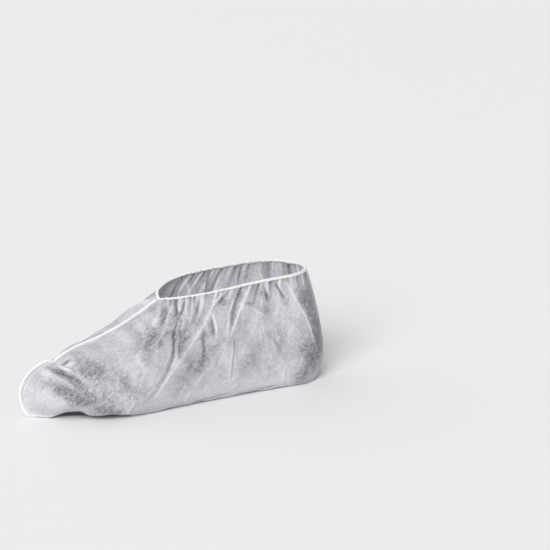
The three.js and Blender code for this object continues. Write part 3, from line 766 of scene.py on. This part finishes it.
# darkened where the cloth lay on the shoe and as painted shade, with specks; then painted highlights and
# shade along creases
colour = mix(tree, math_node(tree, "MULTIPLY", pressed_and_shaded_share, shows), bare, darkened)
colour = mix(tree, math_node(tree, "MULTIPLY", crease_light_and_shade, CREST_HIGHLIGHT_SHARE), colour, CREST_HIGHLIGHT)
colour = mix(tree, math_node(tree, "MULTIPLY", crease_light_and_shade, VALLEY_SHADE_SHARE), colour, VALLEY_SHADE)
rough = ranged(tree, thickness, (0.4, 0.6), (THIN_ROUGH, THICK_ROUGH))
print("nodes for the colour:", len(tree.nodes))

# %% Relief of the cloth, and light through it
LIGHT_THROUGH = 0.25

cut = add_node(tree, "ShaderNodeUVMap", uv_map="cut_sheet").outputs["UV"]
bonds = add_node(tree, "ShaderNodeTexVoronoi", {"Vector": cut, "Scale": 520.0, "Randomness": 0.15})
embossed = math_node(tree, "MULTIPLY", bonds.outputs["Distance"], 0.5)
relief = math_node(tree, "ADD", embossed, math_node(tree, "ADD", fibre, grain))
bump = add_node(tree, "ShaderNodeBump", {"Height": relief, "Strength": 0.25, "Distance": 0.0006})
fill(tree, shader, {"Base Color": colour, "Roughness": rough, "Normal": bump.outputs["Normal"]})

thin_cloth = add_node(tree, "ShaderNodeBsdfTranslucent", {"Color": colour})
shaders = {"Fac": LIGHT_THROUGH, 1: shader.outputs["BSDF"], 2: thin_cloth.outputs["BSDF"]}
both = add_node(tree, "ShaderNodeMixShader", shaders)
fill(tree, tree.nodes["Material Output"], {"Surface": both.outputs["Shader"]})
cloth.data.materials.append(nonwoven)
print(nonwoven.name, len(tree.nodes), "nodes")

# %% [markdown]
# ## Seam fins
# The two sides are overlocked together face to face, so each seam stands out as a narrow fin wrapped in
# white thread. A bevelled curve would make it, but a section swept in code can change on its way: the fin
# sways a little, as sewn cloth does, and is rounded off at its foot.

# %% Sweep a section along a line
def sweep(section, stations, loop=False):
    """Points and faces of a bar. Each station is an origin, a way across and a way out."""
    origin, across, out = (np.array(x, float)[:, None] for x in zip(*stations))
    section = np.array(section, float)
    if section.ndim == 2:
        section = np.broadcast_to(section, (len(stations), *section.shape))
    grid = origin + across * section[..., :1] + out * section[..., 1:]
    count, size = grid.shape[:2]
    faces = []
    for i in range(count if loop else count - 1):
        here, there = i * size, (i + 1) % count * size
        for k in range(size):
            after = (k + 1) % size
            faces.append((here + k, here + after, there + after, there + k))
    if not loop:
        faces += [tuple(reversed(range(size))), tuple(range((count - 1) * size, count * size))]
    return grid.reshape(-1, 3), faces


def closed_mesh(name, points, faces):
    """A mesh object whose faces all point outwards."""
    piece = make_mesh(name, points, faces)
    shape = bmesh.new()
    shape.from_mesh(piece.data)
    bmesh.ops.recalc_face_normals(shape, faces=shape.faces)
    shape.to_mesh(piece.data)
    shape.free()
    return piece


print("faces so far:", len(cloth.data.polygons))

# %% The two fins
FIN_HEIGHT, FIN_THICKNESS, FIN_SINK = 3.9, 1.2, 0.5
FOOT_SHARE, FOOT_LENGTH = 0.5, 6  # height at the floor, and the length over which it grows
SWAY, SWAY_LENGTH = 0.16, 60
FLOOR_GAP = 0.05
SEAM_PLANS = {  # line, first and last level, stations, which way is out, seed of its sway
    "front_seam": (toe_seam, 0.004, 0.988, 300, 1, 3),
    "heel_seam": (heel_seam, 0.03, 0.965, 150, -1, 4),
}


def unit(vectors):
    """The same directions with length 1."""
    return vectors / np.linalg.norm(vectors, axis=-1, keepdims=True)


def seam_stations(seam, start, end, count, out_sign, sway_seed):
    """Origin, across and out of a fin along its seam, and the length up to each."""
    places = np.array(seam(np.linspace(start, end, count))).T
    length = steps(places)
    lean = SWAY * waves(length, sway_seed, SWAY_LENGTH)
    stations = []
    for (s, z), (ts, tz), tilt in zip(places, unit(np.gradient(places, axis=0)), lean):
        out = np.array([-tz * out_sign, 0, ts * out_sign])
        side = np.array([0, out_sign, 0])
        across = side * math.cos(tilt) - out * math.sin(tilt)
        stations.append((np.array((s, 0, z)), across, out * math.cos(tilt) + side * math.sin(tilt)))
    return stations, length


def fin_section(high):
    """A thin bar with a round top."""
    half = FIN_THICKNESS / 2
    top = [(half * math.cos(a), high - half + half * math.sin(a)) for a in np.linspace(0, math.pi, 7)]
    return [(half, -FIN_SINK), *top, (-half, -FIN_SINK)]


fins, fin_stations, fin_heights = {}, {}, {}
for name, plan in SEAM_PLANS.items():
    fin_stations[name], length = seam_stations(*plan)
    fin_heights[name] = FIN_HEIGHT * grow(FOOT_SHARE, length, 0, FOOT_LENGTH)
    fin_points, fin_faces = sweep([fin_section(high) for high in fin_heights[name]], fin_stations[name])
    fin_points[:, 2] = np.maximum(fin_points[:, 2], FLOOR_GAP)
    fins[name] = closed_mesh(name + "_fin", fin_points, fin_faces)
    print(name, "fin", round(length[-1]), "mm long")

# %% [markdown]
# ## The binding
# The edge of the opening runs inside a folded tape with the elastic. Where the elastic has drawn up, the
# tape puckers into small beads, and its lower edge is uneven. A bevelled curve would be too smooth, so a
# changing section is swept along the gathered edge of the sheet itself, and always encloses it.

# %% Sweep the binding along the gathered edge
TAPE_DOWN, TAPE_UP, TAPE_OUT, TAPE_IN = 2.2, 0.9, 0.8, 1.1
BEAD_OUT, BEAD_IN, BEAD_UP, BEAD_SPACING = 0.35, 0.25, 0.35, 3.3
SHOULDER, TURN, LEG = 0.2, 0.5, 0.35  # where its round top starts, and how its lower edges are rounded
SLOT = (-0.2, 0.9)  # place and depth of the slot between its legs
ROWS_BELOW = 3  # the tape leans as the sheet does this far under its edge


def tape_section(bead, down):
    """A folded tape, open below for the sheet, with a round top that swells with its beads."""
    outer, inner = TAPE_OUT + BEAD_OUT * bead, -TAPE_IN - BEAD_IN * bead
    top, middle, half = TAPE_UP + BEAD_UP * bead, (outer + inner) / 2, (outer - inner) / 2
    arc = np.linspace(0, math.pi, 9)
    crown = [(middle + half * math.cos(a), (top - SHOULDER) * math.sin(a) + SHOULDER) for a in arc]
    inside = [(inner, TURN - down), (inner + LEG, -down), (SLOT[0], SLOT[1] - down)]
    outside = [(outer - LEG, -down), (outer, TURN - down), (outer + 0.1 * bead, -0.6 * down)]
    return [*inside, *outside, *crown]


rim = ring_grid[-1]
rim_up = unit(rim - ring_grid[-1 - ROWS_BELOW])
rim_out = unit(np.cross(np.roll(rim, -1, 0) - np.roll(rim, 1, 0), rim_up))
rim_run = steps(rim)
turns = rim_run / BEAD_SPACING + 0.5 * waves(rim_run, seed=41, longest=50)
beads = 0.5 + 0.5 * np.cos(2 * np.pi * turns)
depths = TAPE_DOWN * (0.92 + 0.2 * waves(rim_run, seed=43, longest=34))
tape_sections = [tape_section(bead, down) for bead, down in zip(beads, depths)]
tape_points, tape_faces = sweep(tape_sections, list(zip(rim, rim_out, rim_up)), loop=True)
binding = closed_mesh("ankle_binding_tape", tape_points, tape_faces)
print("binding", round(rim_run[-1]), "mm round,", len(binding.data.polygons), "faces")

# %% [markdown]
# ## White thread and tape
# Thread and tape are whiter than the sheet and without its mottle, and the tape is a little creamier. A
# plain white would look like plastic, so a fine fuzz changes their colour, roughness and bump, and the
# colour is darker in the fuzz's hollows as painted shade.

# %% Thread and tape materials
HOLLOW_SHADE = 0.86  # the fuzz's hollows, as a share of the colour on top: painted shade


def white_cloth(name, colour, scale, strength):
    """A white fuzzy material."""
    material, tree, shader = new_material(name, {"Specular IOR Level": 0.25, "Sheen Weight": 0.1})
    fuzz = noise(tree, add_node(tree, "ShaderNodeTexCoord").outputs["Object"], scale, detail=3)
    shade = ramp(tree, fuzz, (0.3, tuple(HOLLOW_SHADE * c for c in colour)), (0.6, colour))
    rough = ranged(tree, fuzz, (0.3, 0.6), (0.85, 0.68))
    bump = add_node(tree, "ShaderNodeBump", {"Height": fuzz, "Strength": strength, "Distance": 0.0003})
    fill(tree, shader, {"Base Color": shade, "Roughness": rough, "Normal": bump.outputs["Normal"]})
    print(material.name, len(tree.nodes), "nodes")
    return material


thread_white = white_cloth("overlock_thread", (0.82, 0.82, 0.82), 1500, 0.3)
tape_white = white_cloth("elastic_binding", (0.76, 0.755, 0.735), 900, 0.4)
for fin in fins.values():
    fin.data.materials.append(thread_white)
binding.data.materials.append(tape_white)

# %% [markdown]
# ## Overlock stitches
# An overlocker wraps thread round the cut edge in even loops, and a flatter row of slanted stitches
# holds the tape. Setting hundreds of copies by hand would be slow, so each kind of loop is made once,
# and a node tree sets copies along the edge, turned to the line and to the way that the edge faces, as
# one mesh.

# %% One loop of thread
LOOP_SIDES = 5


def thread_loop(name, path, radius):
    """A short tube of thread along a path: X runs along the seam and Z out of it."""
    path = np.array(path, float)
    run = unit(np.gradient(path, axis=0))
    first = unit(np.cross(run, (1, 0, 0)))
    angles = np.linspace(0, 2 * math.pi, LOOP_SIDES, endpoint=False)
    section = [(radius * math.cos(a), radius * math.sin(a)) for a in angles]
    loop_points, loop_faces = sweep(section, list(zip(path, first, np.cross(run, first))))
    return closed_mesh(name, loop_points + (MIDDLE, 0, 0), loop_faces)


# up one face of the fin, over its edge and down the other, moving along
half_turn = enumerate(np.linspace(0, math.pi, 5))
over = [(0.25 * (k - 2), 0.75 * math.cos(a), 0.65 * math.sin(a) - 0.5) for k, a in half_turn]
wrapped = [(-0.6, 0.75, -2.3), *over, (0.6, -0.75, -2.3)]
# a shallow arch that lies aslant on the tape
slanted = [(2.2 * t, 1.6 * t, 0.25 * math.cos(math.pi * t)) for t in np.linspace(-0.5, 0.5, 5)]
loops = {
    "wrapped": thread_loop("wrapped_loop", wrapped, 0.3),
    "slanted": thread_loop("slanted_loop", slanted, 0.24),
}
print({name: len(loop.data.polygons) for name, loop in loops.items()}, "faces a loop")

# %% A node tree for rows of stitches
tree = stitch_row = bpy.data.node_groups.new("stitch_row", "GeometryNodeTree")
kinds = {"Line": "Geometry", "Spacing": "Float", "Loop": "Object", "Thread": "Material"}
stitch_inputs = {}
for name, kind in kinds.items():
    socket = tree.interface.new_socket(name, in_out="INPUT", socket_type="NodeSocket" + kind)
    stitch_inputs[name] = socket.identifier
tree.interface.new_socket("Stitches", in_out="OUTPUT", socket_type="NodeSocketGeometry")
given = add_node(tree, "NodeGroupInput").outputs
curve = add_node(tree, "GeometryNodeMeshToCurve", {"Mesh": given["Line"]}).outputs[0]
spacing = {"Curve": curve, "Length": given["Spacing"]}
spaced = add_node(tree, "GeometryNodeResampleCurve", spacing, mode="LENGTH")
loop = add_node(tree, "GeometryNodeObjectInfo", {"Object": given["Loop"]}).outputs["Geometry"]
tangent = add_node(tree, "GeometryNodeInputTangent").outputs[0]
out = add_node(tree, "GeometryNodeInputNamedAttribute", {"Name": "out"}, data_type="FLOAT_VECTOR")
along = add_node(tree, "FunctionNodeAlignRotationToVector", {"Vector": tangent}, axis="X")
facing = {"Rotation": along.outputs[0], "Vector": out.outputs["Attribute"]}
turned = add_node(tree, "FunctionNodeAlignRotationToVector", facing, axis="Z", pivot_axis="X")
copied = {"Points": spaced.outputs[0], "Instance": loop, "Rotation": turned.outputs[0]}
copies = add_node(tree, "GeometryNodeInstanceOnPoints", copied).outputs[0]
one_mesh = add_node(tree, "GeometryNodeRealizeInstances", {"Geometry": copies}).outputs[0]
finish = {"Geometry": one_mesh, "Material": given["Thread"]}
threaded = add_node(tree, "GeometryNodeSetMaterial", finish).outputs[0]
add_node(tree, "NodeGroupOutput", {0: threaded})
print(tree.name, len(tree.nodes), "nodes")

# %% Rows of stitches
SPACING = {"wrapped": 2.4, "slanted": 2.7}
STITCHED = slice(3, -3)  # a fin's first and last stations carry no stitch
STITCH_SINK = 0.1


def stitches(name, line_points, outs, kind, closed=False):
    """A row of stitches along a line, each loop's Z turned to the given way out."""
    count = len(line_points)
    edges = [(i, (i + 1) % count) for i in range(count if closed else count - 1)]
    row = make_mesh(name, line_points, [], edges)
    layer = row.data.attributes.new("out", "FLOAT_VECTOR", "POINT")
    layer.data.foreach_set("vector", np.asarray(outs, np.float32).ravel())
    modifier = row.modifiers.new("stitch_row", "NODES")
    modifier.node_group = stitch_row
    modifier[stitch_inputs["Spacing"]] = SPACING[kind] * MM
    modifier[stitch_inputs["Loop"]] = loops[kind]
    modifier[stitch_inputs["Thread"]] = thread_white
    finished = bpy.data.meshes.new_from_object(row.evaluated_get(bpy.context.evaluated_depsgraph_get()))
    row.modifiers.clear()
    row.data = finished
    print(name, len(finished.polygons), "faces")
    return row


stitch_rows = {}
for name, places in fin_stations.items():
    origin, _, out = np.array(places[STITCHED]).transpose(1, 0, 2)
    top_line = origin + (fin_heights[name][STITCHED, None] - STITCH_SINK) * out
    stitch_rows[name] = stitches(name + "_stitches", top_line, out, "wrapped")
tape_line = rim + (TAPE_OUT + BEAD_OUT) * rim_out - TAPE_DOWN / 2 * rim_up
stitch_rows["ankle_binding"] = stitches("binding_stitches", tape_line, rim_out, "slanted", closed=True)
for loop in loops.values():
    bpy.data.objects.remove(loop)

# %% [markdown]
# ## Floor, light and camera
# A small white object needs a plain floor of a pale grey, against which its white seam shows, a white
# surround, a broad key light from the upper left and a weak one from behind. Area lamps would do, but
# suns with a wide angle give the same soft light everywhere. The camera stands far away with a long
# lens, 27.5 degrees round from the side and 16 degrees up.

# %% Floor and light
FLOOR, FLOOR_DROP = [(-8, -8), (8, -8), (8, 8), (-8, 8)], 0.0004  # corners in metres, just under the sole
SURROUND = 0.42

floor_mesh = bpy.data.meshes.new("floor")
floor_mesh.from_pydata([(x, y, -FLOOR_DROP) for x, y in FLOOR], [], [(0, 1, 2, 3)])
floor = add_object("floor", floor_mesh)
look = {"Base Color": (0.8, 0.8, 0.8, 1), "Roughness": 0.6, "Specular IOR Level": 0.2}
floor_mesh.materials.append(new_material("pale_floor", look)[0])

world = bpy.data.worlds.new("white_surround")
bpy.context.scene.world = world
world.use_nodes = True
fill(world.node_tree, world.node_tree.nodes["Background"], {"Color": (1, 1, 1, 1), "Strength": SURROUND})


def broad_light(name, azimuth, elevation, spread, strength):
    """A far, broad light: its angles round and up, and its size, in degrees."""
    data = bpy.data.lights.new(name, "SUN")
    data.angle, data.energy = math.radians(spread), strength
    add_object(name, data).rotation_euler = (math.radians(90 - elevation), 0, math.radians(azimuth))
    print(name, "light from", azimuth, "degrees round,", elevation, "up")


broad_light("key", azimuth=-44, elevation=33, spread=36, strength=3.1)
broad_light("fill", azimuth=205, elevation=30, spread=80, strength=0.7)
bpy.context.scene.view_settings.view_transform = "Standard"

# %% Camera
YAW, ELEVATION, DISTANCE = math.radians(-27.5), math.radians(16), 2.6
PICTURE, SENSOR = 550, 36  # sides of the square picture in pixels and of the sensor in mm
LENS = DISTANCE / MM * SENSOR / PICTURE  # one pixel to the millimetre
ANCHOR, ANCHOR_PIXEL = Vector(((14.5 - MIDDLE) * MM, 0, 0)), (30, 417)  # under the toe, and where it is seen

level_share = math.cos(ELEVATION)
back = Vector((math.sin(YAW) * level_share, -math.cos(YAW) * level_share, math.sin(ELEVATION)))
right = Vector((math.cos(YAW), math.sin(YAW), 0))
up = back.cross(right)
across, down = ((p - PICTURE / 2) / PICTURE * SENSOR / LENS * DISTANCE for p in ANCHOR_PIXEL)
eye = ANCHOR - right * across + up * down + back * DISTANCE
lens = bpy.data.cameras.new("camera")
lens.lens, lens.sensor_width = LENS, SENSOR
camera = add_object("camera", lens)
camera.matrix_world = Matrix.Translation(eye) @ Matrix((right, up, back)).transposed().to_4x4()
bpy.context.scene.camera = camera
print("camera at", eye, "lens", round(LENS, 1), "mm")

# %% [markdown]
# ## Handing over
# Each piece rides on the root body, and where it stands for a solid of the imported model, that solid is
# hidden.

# %% Hand over to the frame
for name, fin in fins.items():
    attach(fin, "root")
    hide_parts(name)
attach(binding, "root")
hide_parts("ankle_binding")
for row in stitch_rows.values():
    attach(row, "root")
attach(cloth, "root")
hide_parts("cover_sheet")
